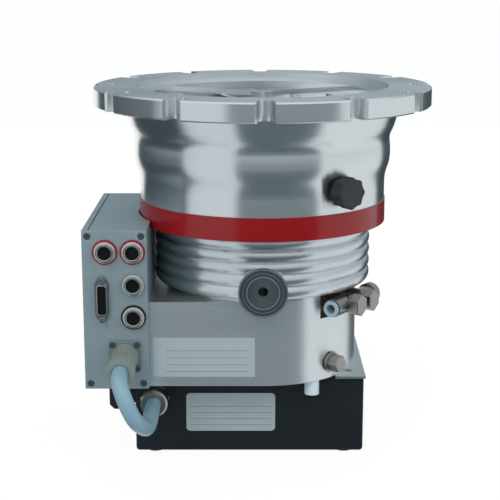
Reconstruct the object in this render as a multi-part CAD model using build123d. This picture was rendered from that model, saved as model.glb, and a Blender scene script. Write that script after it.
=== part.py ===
"""Turbomolecular pump with an ISO-F inlet flange, a side controller and a power supply underneath.

Millimetres, +Z up. The origin is the centre of the inlet flange's top face and +Z is the rotor axis.
The front of the pump, with the forevacuum port, looks along -Y.
"""

from build123d import *
import math
import os

# ---- driving dimensions ---------------------------------------------------------------------
running = 0.05            # radial clearance of a running fit
loose = 0.3               # gap between round faces that only pass each other
seat = 0.05               # radial clearance of a spigot in its seat

# Inlet flange, ISO-F DN 200
flange_r = 142.5
flange_t = 16.0
flange_chamfer = 1.2
slot_count = 12
slot_pcd_r = 130.0
slot_w = 13.0
slot_mouth = 2.0
slot_turn = 0.5
clamp_bore_r = 106.5
clamp_bore_depth = 5.5

# Casing
bore_r = 96.0
casing_r = 104.6
wave_lean = 6.0           # degrees that the wall leans inwards under the flange
wave = (                  # radius and height of the arcs' ends down the wavy wall
    (115.5, -16.0), (112.6, -30.5), (109.8, -37.5), (108.4, -45.5), (109.0, -57.0), (107.0, -67.5),
    (casing_r, -80.8),
)
band_z = -95.0
band_h = 19.0
band_t = 1.4
band_proud = 0.7
joint_z = -106.0          # casing meets lower housing
spigot_h = 5.0
spigot_wall = 11.5

# Finned neck and base
rib_r = 92.8
rib_pitch = 10.2
rib_count = 5
rib_depth = 2.3
holweck_seat_r = 82.0
holweck_len = 34.0
holweck_gap = 0.8         # between the carbon sleeve and the stators
holweck_grooves = 10
holweck_groove_lean = 28.0
holweck_groove = (5.0, 6.0, 60.0)
holweck_inner_drop = 4.0
chamber_r = 68.0
chamber_h = 30.5
base_r = 81.5
base_bottom_z = -241.0
block_gap = 0.4           # controller's side beyond the ribs
block_corner_r = 20.0
block_top_drop = 4.5      # block top below the last rib
tower_r = 34.0
tower_wall = 6.0
tower_floor = 6.0
tower_top_drop = 2.0

# Rotor
rotor_hub_r = 40.0
tip_r = 92.5
rotor_top_z = -15.0
hub_bore_r = 15.0
shaft_r = 8.0
sleeve_r = 62.0
sleeve_wall = 4.0
sleeve_len = 34.0
sleeve_disc_t = 4.0       # disc that carries the sleeve
hub_end = 2.0             # hub below the last blades
hub_wall, hub_core_r, hub_roof = 6.0, 16.0, 8.0
tip_gap = 0.8             # blade tips to the spacer rings
rotor_stages = (          # height, blade pitch angle, chord, thickness, count, gap below it
    (14.0, 45.0, 17.5, 1.8, 16, 11.5),
    (10.0, 38.0, 13.6, 1.6, 18, 9.5),
    (8.0, 31.0, 12.0, 1.5, 20, 8.0),
    (7.0, 27.0, 11.0, 1.4, 22, 8.0),
    (6.0, 23.0, 10.0, 1.3, 24, 3.0),
)
stage_gap = 1.5
stator_rim_w = 4.0
stator_rim_root = 3.0     # rim's extra width where the blades start
stator_hub_r = 42.0
stator_hub_w = 3.0
stator_blades = ((40.0, 8.8, 1.4, 18), (34.0, 7.6, 1.3, 20), (28.0, 7.0, 1.2, 22), (27.0, 7.0, 1.2, 24))

# Bearings and motor
star_ring_w = 4.8
star_h = 6.0
star_arm_w = 3.2
star_arm_h = 4.0
star_arms = 3
star_hub_r = 9.5
star_drop = 0.3           # star below the clamp bore's floor
hub_hole_r, hub_hole_depth, hub_hole_inset = 1.3, 2.0, 3.2
stub_r = 6.0
stub_len = 24.0
magnet_len = 16.0
magnet_drop = 4.0         # magnets below the star
magnet_gap = 1.0
magnet_ring_t = 3.4
catch_pin_r = 2.0
catch_gap = 0.6
catch_wall = 2.0
catch_depth = 5.0         # depth of the safety bearing's seat in the stub
catch_len = 4.5
catch_pin_rise = 4.2
shaft_drop = 4.0          # shaft's shoulder below the stub
motor_len = 28.0
motor_drop = 16.0         # motor's top below the joint
motor_magnet_r = 13.0
motor_gap = 1.2
winding_h = 8.0
winding_inset = 2.0
bearing_z = -190.0
bearing_h = 8.0
journal_r = 6.0
ball_r = 1.9
ball_count = 8
ball_circle_r = 10.5
race_gap = 0.1
ball_play = 0.08
cage_half_w, cage_inset = 0.9, 0.8
bearing_outer_r = 16.0
damper_t = 4.0
holder_wall = 4.0
holder_rise = 3.0         # holder beyond the bearing at each end
reservoir_r = 43.0
reservoir_h = 18.0
reservoir_cap = 6.0       # bearing's underside to the top of the reservoir's bore
cover_r = 58.0
cover_t = 6.0
cover_seal_in, cover_seal_out, cover_seal_depth = 0.9, 3.2, 1.8
cover_edge = 1.5          # screw heads inside the cover's edge

# Screws
m4_r, m4_head_r, m4_head_h = 2.0, 3.5, 4.0
m5_r, m5_head_r, m5_head_h = 2.5, 4.25, 3.0
screw_play = 0.25
head_sink = 0.2           # depth of a casing screw's head below the flange
cover_head_sink = 0.7
casing_screw_len, cover_screw_len = 12.0, 14.0
casing_screw_count = 8
casing_screw_turn = 22.5
cover_screw_count = 6
cover_screw_turn = 15.0

# Forevacuum port, DN 25 ISO-KF
port_z = -156.5
port_stand = 9.2          # port's face in front of the ribs
kf_flange_r = 20.0
kf_rim_t = 3.0
kf_cone = 3.0
kf_tube_r = 15.0
kf_bore_r = 13.0
kf_recess = 4.5
kf_throat_r = 11.0
port_boss_wall = 3.5
port_boss_root, port_boss_proud = 6.0, 1.0
baffle_r = 12.4
baffle_hole_r = 4.0
baffle_t = 3.0

# Vent screw on the casing
vent_angle = 35.5
vent_z = -76.5
vent_spindle_r = 4.0
vent_head_r = 13.0
vent_head_t = 12.0
vent_lobes = 8
vent_lobe_r = 3.2
vent_stand = 4.6          # knob's inner face outside the casing
vent_chamfer = 0.8
vent_seal_depth = 4.0
vent_seal_w = 4.2
vent_collar_gap = 1.0     # radially and below the collar that presses the seal
vent_tip_gap = 1.0        # spindle's tip short of the casing's bore

# Cooling water connections
water_angle = 56.0
water_depth = 11.5        # depth of the pocket floor in the round base
water_z = -177.0
water_pocket_h = 21.0
water_from = -28.0
water_plate_t = 2.0
water_ports = ((-6.0, -1.0, 7.5), (14.0, 1.0, 9.0))   # place along the flat, way it points, collar radius
banjo_r = 5.0
banjo_len = 13.0
elbow_r = 8.0
elbow_stand = 18.4
elbow_stagger = 0.3       # front elbow's axis further in, and the rear one's further out
elbow_h = 15.0
barrel_r = 7.4
barrel_len = 22.0
collet_r = 5.5
collet_bore_r = 4.0
hose_stop_r = 3.4
collet_lip_r = 6.6
collet_lip_t = 2.0
collet_play = 1.2
collet_seat_len = 9.0
collet_stem_len = 7.5
barrel_collar_len = 7.0
banjo_shoulder = 2.5
hex_af = 16.0
hex_h = 8.0

# Sealing-gas plug and post under the base
plug_angle = 44.5
plug_z = -227.0
plug_collar_r = 8.2
plug_collar_t = 3.5
plug_hex_af = 12.6
plug_hex_h = 9.0
plug_thread_r = 6.5
plug_thread_len = 12.0
plug_spot_depth = 1.4
gasket_t = 0.8
post_x, post_y = 41.5, -62.0
post_r = 6.2
post_h = 13.0
post_thread_r, post_thread_len = 3.0, 8.0

# Controller
controller_w = 52.3
controller_top_z, controller_bottom_z = -108.0, -240.5
controller_front_y, controller_back_y = -90.0, 78.0
plate_t = 3.0
controller_wall = 3.0
rail_w, rail_h = 4.5, 1.2
relief_gap = 1.0
roof_margin = 5.7         # high roof's start beyond the relief round the band
roof_drop = 2.0           # low roof under the band
corner_inset = 4.6
controller_screw_r = 1.5
controller_head_r = 2.6
controller_head_h = 1.6

# Drive board inside the controller
board_t = 1.6
board_end_gap, board_edge_gap = 20.0, 12.0
board_block_places = (-50.0, -20.0, 10.0, 40.0)
board_block_len, board_block_h, board_block_w = 18.0, 30.0, 24.0
board_block_rise = 8.0

# Controller connectors: distance from the controller's right side, height, ring
socket_places = (
    (33.8, -125.5, "red"), (11.6, -125.5, "red"), (11.6, -152.5, "plain"), (11.6, -179.5, "black"),
)
socket_r = 7.6
socket_bore_r = 6.2
socket_h = 6.0
socket_flange_t = 2.0
code_ring_r = 10.2
code_ring_t = 1.0
socket_lip = 1.2
socket_pin_r, socket_pin_circle_r = 0.7, 2.6
insert_recess = 1.6
dsub_side, dsub_z = 36.6, -164.2
dsub_w, dsub_h = 8.4, 25.0
dsub_flange_w, dsub_flange_h = 12.5, 39.0
dsub_flange_t = 1.0
dsub_shell_h = 5.5
dsub_wall = 0.8
jackpost_spacing = 33.3
jackpost_r = 2.4
jackpost_h = 5.0
jackpost_shank_r, jackpost_shank_len = 1.4, 8.0
receptacle_side_x, receptacle_z = 19.0, -212.0
receptacle_side = 26.0
receptacle_t = 3.0
receptacle_screw_spacing = 19.8
receptacle_nose_r = 8.0
receptacle_nose_h = 14.0
coupling_r = 11.0
coupling_len = 17.0
coupling_flutes, flute_r = 18, 0.8
plug_body_r = 10.6
plug_nut_r = 11.4
plug_nut_len = 8.0
plug_end_y = -136.0
plug_groove_first, plug_groove_pitch = 2.5, 3.0
plug_groove_w, plug_groove_depth = 1.2, 0.7

# Cable
cable_r = 6.4
cable_socket = 3.0
gland_x, gland_z = -91.5, -260.5
gland_face_y = -72.0
gland_stem_r, gland_stem_len = 8.0, 12.0
gland_hex_af, gland_hex_h = 22.0, 6.0
gland_neck_r, gland_neck_len = 9.0, 2.0
gland_cap_r, gland_cap_chamfer = 11.8, 1.6
gland_grips = 6

# Mains connector on the supply's left side
mains_y = -30.0
mains_neck_w, mains_neck_h = 27.4, 17.4
mains_w, mains_h, mains_t = 32.0, 27.0, 13.5
mains_drop = 17.0         # neck's middle below the supply's top
mains_neck_len = 9.0
mains_pocket = 8.0
mains_chamfer = 4.0

# Power supply and bracket
bracket_t = 2.2
supply_x0, supply_x1 = -108.5, 86.5
supply_y0, supply_y1 = -50.0, 100.0
supply_h = 66.8
supply_edge_r = 3.0
foot_r = 8.0
foot_h = 2.0
foot_inset = 16.0
bracket_edge = 1.0        # bracket's right edge beyond the supply
bracket_left, bracket_front, bracket_back = 12.0, 6.0, 8.0
bracket_tab_x = 62.0      # tab beside the cut-away front edge
base_screw_places = ((-75, -45), (-75, 45), (22, 70), (67, -24))
supply_screw_places = ((-60, -32), (-88, 85), (70, 85), (74, -40))
base_screw_depth, supply_screw_depth = 10.0, 12.0
screw_hole_extra = 2.0

# ---- derived places ---------------------------------------------------------------------------
block_left_x = -(rib_r + block_gap)
port_face_y = -(rib_r + port_stand)
controller_x1 = block_left_x
controller_x0 = controller_x1 - controller_w
sockets = [(controller_x1 - side, z, kind) for side, z, kind in socket_places]
dsub_x = controller_x1 - dsub_side
receptacle_x = controller_x1 - receptacle_side_x
water_flat = base_r - water_depth
band_bottom_z = band_z - band_h
rib_bottom_z = band_bottom_z - rib_count * rib_pitch
block_top_z = rib_bottom_z - block_top_drop
flange_foot_r = casing_r - band_t + band_proud
holweck_bottom_z = joint_z - holweck_len
chamber_bottom_z = holweck_bottom_z - chamber_h
supply_top_z = base_bottom_z - bracket_t
supply_bottom_z = supply_top_z - supply_h
bolt_circle_r = (bore_r + flange_foot_r) / 2 - seat
star_top_z = -clamp_bore_depth - star_drop
relief_r = flange_foot_r + band_t + relief_gap
stub_bottom_z = star_top_z - star_h - stub_len
sleeve_inner_r = sleeve_r - sleeve_wall

UP = Align.MIN
MID = Align.CENTER


def rod(r, z0, z1, x=0.0, y=0.0):
    """Round bar between two heights."""
    return Pos(x, y, min(z0, z1)) * Cylinder(r, abs(z1 - z0), align=(MID, MID, UP))


def ring(r_out, r_in, z0, z1, x=0.0, y=0.0):
    """Tube between two heights."""
    return rod(r_out, z0, z1, x, y) - rod(r_in, z0, z1, x, y)


def block(x0, x1, y0, y1, z0, z1):
    """Box between its corners."""
    size = (abs(x1 - x0), abs(y1 - y0), abs(z1 - z0))
    return Pos(min(x0, x1), min(y0, y1), min(z0, z1)) * Box(*size, align=(UP, UP, UP))


def forward(x, y, z):
    """Frame whose +Z points to the front, -Y, with its +X along +X."""
    return Location(Plane(origin=(x, y, z), x_dir=(1, 0, 0), z_dir=(0, -1, 0)))


def outward(angle, distance, z, across=0.0):
    """Frame on a flank of the pump: +Z points away from the axis, angle degrees right of the front."""
    a = math.radians(angle)
    normal = Vector(math.sin(a), -math.cos(a), 0)
    side = Vector(math.cos(a), math.sin(a), 0)
    origin = normal * distance + side * across + Vector(0, 0, z)
    return Location(Plane(origin=origin, x_dir=side, z_dir=normal))


def turned(edges):
    """Solid of revolution about Z from the (radius, height) edges of its closed outline."""
    return revolve(make_face(Curve() + [Plane.XZ * edge for edge in edges]), Axis.Z)


def around(shape, count, start=0.0):
    """Copies of a shape about Z."""
    return [Rot(0, 0, start + i * 360.0 / count) * shape for i in range(count)]


def write(name, *solids):
    """One STEP file for one node."""
    shape = solids[0] if len(solids) == 1 else Compound(children=list(solids))
    export_step(shape, f"parts/{name}.step")


def hexagon(af, h):
    """Hexagonal prism with the given width across its flats."""
    return extrude(RegularPolygon(af / 2, 6, major_radius=False), h)


def cap_screw(r, head_r, head_h, length):
    """Socket-head cap screw along -Z: its head hangs below Z = 0 and the shank stands above it."""
    head = rod(head_r, -head_h, 0) - Pos(0, 0, -head_h) * hexagon(1.6 * r, head_h / 2)
    return head + rod(r, 0, length)


# ---- casing ------------------------------------------------------------------------------------
def slot_cutter():
    """Open-ended slot with a rounded inner end and a flared mouth."""
    half = slot_w / 2
    mouth = Polyline(
        (slot_pcd_r, -half), (flange_r - slot_mouth, -half), (flange_r + 1, -half - slot_mouth - 1),
        (flange_r + 1, half + slot_mouth + 1), (flange_r - slot_mouth, half), (slot_pcd_r, half), close=True,
    )
    plan = make_face(mouth) + Pos(slot_pcd_r, 0) * Circle(half)
    return Pos(0, 0, -flange_t - 1) * extrude(plan, flange_t + 2)


def wavy_wall():
    """Tangent arcs down the casing's outside, from the flange to the straight wall above the band."""
    lean = math.radians(wave_lean)
    tangent = (-math.sin(lean), -math.cos(lean))
    arcs = []
    for start, end in zip(wave, wave[1:]):
        arc = TangentArc(start, end, tangent=tangent)
        tangent = arc % 1
        arcs.append(arc)
    return arcs


def make_casing():
    c = flange_chamfer
    edges = [
        Polyline((clamp_bore_r, 0), (flange_r - c, 0), (flange_r, -c), (flange_r, -flange_t + c),
                 (flange_r - c, -flange_t), wave[0]),
        *wavy_wall(),
        Polyline(wave[-1], (casing_r, band_z), (flange_foot_r, band_z), (flange_foot_r, joint_z),
                 (bore_r, joint_z), (bore_r, -clamp_bore_depth), (clamp_bore_r, -clamp_bore_depth),
                 (clamp_bore_r, 0)),
    ]
    body = turned(edges)
    body -= around(slot_cutter(), slot_count, slot_turn - 90)
    # Spindle bore and seal counterbore of the vent screw
    body -= outward(vent_angle, bore_r - 5, vent_z) * rod(vent_spindle_r + running, 0, 30)
    body -= outward(vent_angle, vent_seal_floor(), vent_z) * rod(vent_seal_seat_r(), 0, 20)
    # Blind holes for the screws that hold the lower housing
    hole = rod(m4_r + seat, joint_z - 1, joint_z + 10, bolt_circle_r, 0)
    return body - around(hole, casing_screw_count, casing_screw_turn)


def vent_seal_floor():
    return casing_r - vent_seal_depth


def vent_seal_seat_r():
    return vent_spindle_r + vent_seal_w


def make_band():
    outer = flange_foot_r + seat + band_t
    return ring(outer, flange_foot_r + seat, band_bottom_z, band_z)


# ---- lower housing -----------------------------------------------------------------------------
def rib_outline():
    """Outline of the finned neck: round-nosed ribs between round grooves."""
    edges = []
    crest = rib_r
    root = rib_r - rib_depth
    z = band_bottom_z
    for _ in range(rib_count):
        low = z - rib_pitch
        mid = (z + low) / 2
        edges.append(ThreePointArc((root, z), (crest, mid), (root, low)))
        z = low
    return edges


def base_plan():
    """Round base with the square block that carries the controller on its left."""
    square = Pos(block_left_x / 2, 0) * Rectangle(-block_left_x, 2 * base_r)
    corner = square.vertices().sort_by(Axis.Y)[-2:].sort_by(Axis.X)[0]
    return fillet(corner, block_corner_r) + Circle(base_r)


def make_lower_housing():
    root = rib_r - rib_depth
    edges = [
        Polyline((holweck_seat_r, joint_z), (flange_foot_r, joint_z), (flange_foot_r, band_bottom_z),
                 (root, band_bottom_z)),
        *rib_outline(),
        Polyline((root, rib_bottom_z), (base_r, rib_bottom_z), (base_r, base_bottom_z), (0, base_bottom_z),
                 (0, chamber_bottom_z), (chamber_r, chamber_bottom_z), (chamber_r, holweck_bottom_z),
                 (holweck_seat_r, holweck_bottom_z), (holweck_seat_r, joint_z)),
    ]
    body = turned(edges)
    foot = Pos(0, 0, base_bottom_z) * extrude(base_plan(), block_top_z - base_bottom_z)
    body += foot - rod(chamber_r, chamber_bottom_z, rib_bottom_z)
    # Spigot that centres the casing, and the motor tower
    body += ring(bore_r - seat, bore_r - spigot_wall, joint_z, joint_z + spigot_h)
    body += rod(tower_r, chamber_bottom_z, joint_z - tower_top_drop)
    # Bores on the axis
    body -= rod(tower_r - tower_wall, chamber_bottom_z + tower_floor, joint_z)
    body -= rod(bearing_seat_r(), reservoir_top_z(), chamber_bottom_z + tower_floor + 1)
    body -= rod(reservoir_r + loose, base_bottom_z, reservoir_top_z())
    body -= rod(cover_r + seat, base_bottom_z, base_bottom_z + cover_t)
    body -= cover_seal_groove()
    # Forevacuum port seat, in a short boss between the ribs
    boss_r = kf_tube_r + port_boss_wall
    body += forward(0, 0, port_z) * rod(boss_r, rib_r - port_boss_root, rib_r + port_boss_proud)
    body -= forward(0, 0, port_z) * rod(kf_tube_r + seat, chamber_r - 4, rib_r + 20)
    # Screws that hold the casing, from below
    hole = rod(m4_r + screw_play, band_bottom_z - 1, joint_z + 1, bolt_circle_r, 0)
    pocket = rod(m4_head_r + screw_play, band_bottom_z - 1, casing_screw_face(), bolt_circle_r, 0)
    body -= around(hole, casing_screw_count, casing_screw_turn)
    body -= around(pocket, casing_screw_count, casing_screw_turn)
    # Screws of the bottom cover, of the bracket and of the post
    thread = rod(m5_r + seat, base_bottom_z, base_bottom_z + 18, cover_screw_r(), 0)
    body -= around(thread, cover_screw_count, cover_screw_turn)
    depth = base_screw_depth + screw_hole_extra
    body -= [rod(m5_r + seat, base_bottom_z, base_bottom_z + depth, x, y) for x, y in base_screw_places]
    body -= rod(post_thread_r + seat, base_bottom_z, base_bottom_z + post_thread_len + 1, post_x, post_y)
    # Flat pocket of the cooling water connections
    flat = outward(water_angle, water_flat - water_plate_t, water_z, (water_from + water_pocket_end()) / 2)
    body -= flat * Box(water_pocket_end() - water_from, water_pocket_h, 40, align=(MID, MID, UP))
    for across, _, _ in water_ports:
        body -= water_bolt_hole(across)
    # Threaded hole of the sealing-gas plug with its spot face
    face = outward(plug_angle, base_r - plug_spot_depth, plug_z)
    body -= face * rod(plug_collar_r + 1, 0, 10)
    body -= face * rod(plug_thread_r + seat, -plug_thread_len - 1, 1)
    return body


def reservoir_top_z():
    return bearing_z - bearing_h - reservoir_cap


def casing_screw_face():
    """Height where the casing screws' heads bear on the lower housing's flange."""
    return band_bottom_z + m4_head_h + head_sink


def cover_screw_face():
    return base_bottom_z + m5_head_h + cover_head_sink


def water_bolt_hole(across):
    start = outward(water_angle, water_flat - banjo_len - 1, water_z, across)
    return start * rod(banjo_r + seat, 0, banjo_len + 5)


def bearing_seat_r():
    return bearing_outer_r + damper_t + holder_wall


def cover_screw_r():
    return cover_r - m5_head_r - cover_edge


def cover_seal_groove():
    z = base_bottom_z + cover_t
    return ring(reservoir_r + cover_seal_out, reservoir_r + cover_seal_in, z - 0.01, z + cover_seal_depth)


# ---- rotor and stator ---------------------------------------------------------------------------
def blade(r0, r1, angle, chord, thick):
    """Flat inclined blade along +X."""
    return Pos((r0 + r1) / 2, 0, 0) * Rot(angle, 0, 0) * Box(r1 - r0, chord, thick)


def stage_places():
    """Top and bottom height of each rotor stage and of the stator below it."""
    z = rotor_top_z
    places = []
    for height, _, _, _, _, gap in rotor_stages:
        places.append((z, z - height, z - height - stage_gap, z - height - gap + stage_gap))
        z -= height + gap
    return places


def make_rotor():
    places = stage_places()
    bottom = places[-1][1] - hub_end
    body = rod(rotor_hub_r, bottom, rotor_top_z) + rod(sleeve_r, bottom - sleeve_disc_t, bottom)
    blades = []
    for (height, angle, chord, thick, count, _), (top, low, _, _) in zip(rotor_stages, places):
        one = Pos(0, 0, (top + low) / 2) * blade(rotor_hub_r - 2, tip_r, angle, chord, thick)
        blades += around(one, count)
    body = body + blades
    body -= rod(hub_bore_r, rotor_top_z - hub_bore_depth(), rotor_top_z)
    body -= rod(shaft_r + running, bottom - 10, rotor_top_z)
    # Hollow underside of the hub
    hollow_top = rotor_top_z - hub_bore_depth() - hub_roof
    body -= ring(rotor_hub_r - hub_wall, hub_core_r, bottom - sleeve_disc_t - 1, hollow_top)
    return body, bottom


def hub_bore_depth():
    return rotor_top_z - stub_bottom_z + 4.0


def make_stator_discs():
    discs = []
    for (_, _, top, low), (angle, chord, thick, count) in zip(stage_places()[:-1], stator_blades):
        rim = ring(bore_r - seat, bore_r - seat - stator_rim_w - stator_rim_root, low, top)
        hub = ring(stator_hub_r + stator_hub_w, stator_hub_r, low, top)
        inner, outer = stator_hub_r + 1, bore_r - stator_rim_w
        one = Pos(0, 0, (top + low) / 2) * blade(inner, outer, -angle, chord, thick)
        discs.append(rim + hub + around(one, count, 5))
    return discs


def make_spacers():
    """Rings between the stator discs, from the bearing star down to the spigot."""
    heights = [star_top_z - star_h]
    for _, _, top, low in stage_places()[:-1]:
        heights += [top, low]
    heights.append(joint_z + spigot_h)
    inner = tip_r + tip_gap
    return [ring(bore_r - seat, inner, heights[i + 1], heights[i]) for i in range(0, len(heights), 2)]


def make_star():
    top, low = star_top_z, star_top_z - star_h
    body = ring(bore_r - seat, bore_r - star_ring_w, low, top) + rod(star_hub_r, low, top)
    arm = block(0, bore_r - star_ring_w / 2, -star_arm_w / 2, star_arm_w / 2, top - star_arm_h, top)
    body = body + around(arm, star_arms, 30)
    body += rod(stub_r, stub_bottom_z, low)
    body -= rod(catch_pin_r + catch_gap + catch_wall, stub_bottom_z, stub_bottom_z + catch_depth)
    hole = rod(hub_hole_r, top - hub_hole_depth, top, star_hub_r - hub_hole_inset, 0)
    body -= around(hole, star_arms, 90)
    return body


def make_shaft():
    """Shaft with its bearing journal, the pin in the safety bearing and the lubricant cone's stem."""
    shoulder = stub_bottom_z - shaft_drop
    journal_top, journal_low = bearing_z + 2, bearing_z - bearing_h - 2
    shaft = rod(shaft_r, journal_top, shoulder) + rod(journal_r, journal_low, journal_top)
    shaft += rod(catch_pin_r, shoulder, stub_bottom_z + catch_pin_rise)
    return shaft + rod(journal_r - 1.5, journal_low - 12, journal_low)


def make_holweck():
    outer_r = sleeve_r + holweck_gap
    inner_r = sleeve_inner_r - holweck_gap
    outer = ring(holweck_seat_r - seat, outer_r, holweck_bottom_z, joint_z)
    inner = ring(inner_r, tower_r + seat, holweck_bottom_z, joint_z - holweck_inner_drop)
    groove = Rot(holweck_groove_lean, 0, 0) * Box(*holweck_groove)
    middle = (holweck_bottom_z + joint_z) / 2
    return (outer - around(Pos(outer_r, 0, middle) * groove, holweck_grooves),
            inner - around(Pos(inner_r, 0, middle) * groove, holweck_grooves))


def make_ball_bearing():
    z1, z0 = bearing_z, bearing_z - bearing_h
    inner_r = ball_circle_r - ball_r - race_gap
    outer_r = ball_circle_r + ball_r + race_gap
    middle = (z0 + z1) / 2
    inner = ring(inner_r, journal_r + 0.01, z0, z1)
    outer = ring(bearing_outer_r, outer_r, z0, z1)
    ball = Pos(ball_circle_r, 0, middle) * Sphere(ball_r)
    pocket = Pos(ball_circle_r, 0, middle) * Rot(0, 90, 0) * Cylinder(ball_r + ball_play, 4.0)
    cage = ring(ball_circle_r + cage_half_w, ball_circle_r - cage_half_w, z0 + cage_inset, z1 - cage_inset)
    cage -= around(pocket, ball_count)
    return inner, outer, cage, around(ball, ball_count)


def make_bottom_cover():
    hole = rod(m5_r + screw_play, base_bottom_z, base_bottom_z + 20, cover_screw_r(), 0)
    pocket = rod(m5_head_r + screw_play, base_bottom_z, cover_screw_face(), cover_screw_r(), 0)
    cover = rod(cover_r, base_bottom_z, base_bottom_z + cover_t - loose)
    cover -= around(hole, cover_screw_count, cover_screw_turn)
    return cover - around(pocket, cover_screw_count, cover_screw_turn)


def make_socket_screws():
    """Screws of the casing's joint, then those of the bottom cover."""
    joint = cap_screw(m4_r, m4_head_r, m4_head_h, casing_screw_len)
    joint = Pos(bolt_circle_r, 0, casing_screw_face()) * joint
    cover = cap_screw(m5_r, m5_head_r, m5_head_h, cover_screw_len)
    cover = Pos(cover_screw_r(), 0, cover_screw_face()) * cover
    return (around(joint, casing_screw_count, casing_screw_turn)
            + around(cover, cover_screw_count, cover_screw_turn))


# ---- outer fittings ------------------------------------------------------------------------------
def make_port():
    """KF flange with its tapered back and the tube that seats in the housing, along the front axis."""
    face = -port_face_y
    seat_end = face - kf_recess - baffle_t
    outline = Polyline(
        (kf_tube_r, chamber_r), (kf_tube_r, face - kf_rim_t - kf_cone), (kf_flange_r, face - kf_rim_t),
        (kf_flange_r, face), (kf_bore_r, face), (kf_bore_r, face - kf_recess),
        (baffle_r + seat, face - kf_recess), (baffle_r + seat, seat_end), (kf_throat_r, seat_end),
        (kf_throat_r, chamber_r), close=True,
    )
    return forward(0, 0, port_z) * turned([outline])


def make_port_baffle():
    face = -port_face_y
    back = face - kf_recess - baffle_t
    return forward(0, 0, port_z) * ring(baffle_r, baffle_hole_r, back, back + baffle_t)


def make_vent():
    """Knob with its spindle, and the seal ring under it. Both start on the knob's axis."""
    inner_face = casing_r + vent_stand
    tip = bore_r + vent_tip_gap
    plan = Circle(vent_head_r - 1.2) + [
        Rot(0, 0, i * 360 / vent_lobes) * Pos(vent_head_r - vent_lobe_r, 0) * Circle(vent_lobe_r)
        for i in range(vent_lobes)
    ]
    head = extrude(plan, vent_head_t)
    head = chamfer(head.faces().sort_by(Axis.Z)[-1].edges(), vent_chamfer)
    neck = rod(vent_seal_seat_r() - vent_collar_gap, vent_collar_gap - vent_stand, 0)
    spindle = rod(vent_spindle_r, tip - inner_face, 0)
    knob = outward(vent_angle, inner_face, vent_z) * (head + neck + spindle)
    seal_len = inner_face - vent_stand + vent_collar_gap - vent_seal_floor() - 2 * loose
    seal = ring(vent_seal_seat_r() - loose, vent_spindle_r + loose, 0, seal_len)
    seal = outward(vent_angle, vent_seal_floor() + loose, vent_z) * seal
    return knob, seal


def water_pocket_end():
    """Place along the flat, just past the round base, where the pocket's cutter ends."""
    return math.sqrt(base_r**2 - (water_flat - water_plate_t)**2) + 2.0


def water_plate_end():
    """Place along the flat where the round base ends."""
    return math.sqrt(base_r**2 - water_flat**2) - 1.0


def make_water_block():
    """Thin plate in the flat pocket, drilled for the two swivel screws."""
    flat = outward(water_angle, water_flat - water_plate_t, water_z, (water_from + water_plate_end()) / 2)
    width = water_plate_end() - water_from - 0.4
    plate = flat * Box(width, water_pocket_h - 0.4, water_plate_t, align=(MID, MID, UP))
    return plate - [water_bolt_hole(across) for across, _, _ in water_ports]


def make_water_bolt(across, way):
    """Screw that holds a swivel elbow, with a shoulder under it and a hexagon head over it."""
    stand = elbow_stand + way * elbow_stagger
    low = stand - elbow_h / 2 - loose
    high = stand + elbow_h / 2 + loose
    bolt = rod(banjo_r, -banjo_len, high) + rod(banjo_r + banjo_shoulder, 0, low)
    head = Pos(0, 0, high) * Rot(0, 0, 30) * hexagon(hex_af, hex_h)
    head = chamfer(head.faces().sort_by(Axis.Z)[-1].edges(), 0.6)
    return outward(water_angle, water_flat, water_z, across) * (bolt + head)


def make_elbow(across, way, collar_r):
    """Swivel elbow on its screw, with a barrel along the flat and a push-in collet in its mouth."""
    stand = elbow_stand + way * elbow_stagger
    place = outward(water_angle, water_flat + stand, water_z, across)
    hub = Pos(0, 0, -elbow_h / 2) * Cylinder(elbow_r, elbow_h, align=(MID, MID, UP))
    along = Location(Plane(origin=(0, 0, 0), x_dir=(0, 0, 1), z_dir=(way, 0, 0)))
    barrel = along * rod(barrel_r, 0, barrel_len)
    body = hub + barrel
    if collar_r > barrel_r + 0.5:
        body += along * rod(collar_r, barrel_len - barrel_collar_len, barrel_len)
    body -= Pos(0, 0, -elbow_h) * Cylinder(banjo_r + running, 2 * elbow_h, align=(MID, MID, UP))
    body -= along * rod(hose_stop_r, 0, barrel_len)
    body -= along * rod(collet_r + running, barrel_len - collet_seat_len, barrel_len)
    lip_start = barrel_len + collet_play
    stem = ring(collet_r, collet_bore_r, barrel_len - collet_stem_len, lip_start)
    lip = ring(collet_lip_r, collet_bore_r, lip_start, lip_start + collet_lip_t)
    collet = along * (stem + lip)
    return place * body, place * collet


def make_gas_plug():
    collar = rod(plug_collar_r, gasket_t, gasket_t + plug_collar_t)
    head = Pos(0, 0, gasket_t + plug_collar_t) * hexagon(plug_hex_af, plug_hex_h)
    head = chamfer(head.faces().sort_by(Axis.Z)[-1].edges(), 0.7)
    plug = collar + head + rod(plug_thread_r, -plug_thread_len, gasket_t)
    gasket = ring(plug_collar_r - 0.4, plug_thread_r + seat, 0, gasket_t)
    place = outward(plug_angle, base_r - plug_spot_depth, plug_z)
    return place * plug, place * gasket


def make_post():
    body = rod(post_r, base_bottom_z - post_h, base_bottom_z, post_x, post_y)
    return body + rod(post_thread_r, base_bottom_z, base_bottom_z + post_thread_len, post_x, post_y)


# ---- controller ------------------------------------------------------------------------------------
def plate_corners(x0, x1, z0, z1):
    d = corner_inset
    return [(x, z) for x in (x0 + d, x1 - d) for z in (z0 + d, z1 - d)]


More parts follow.
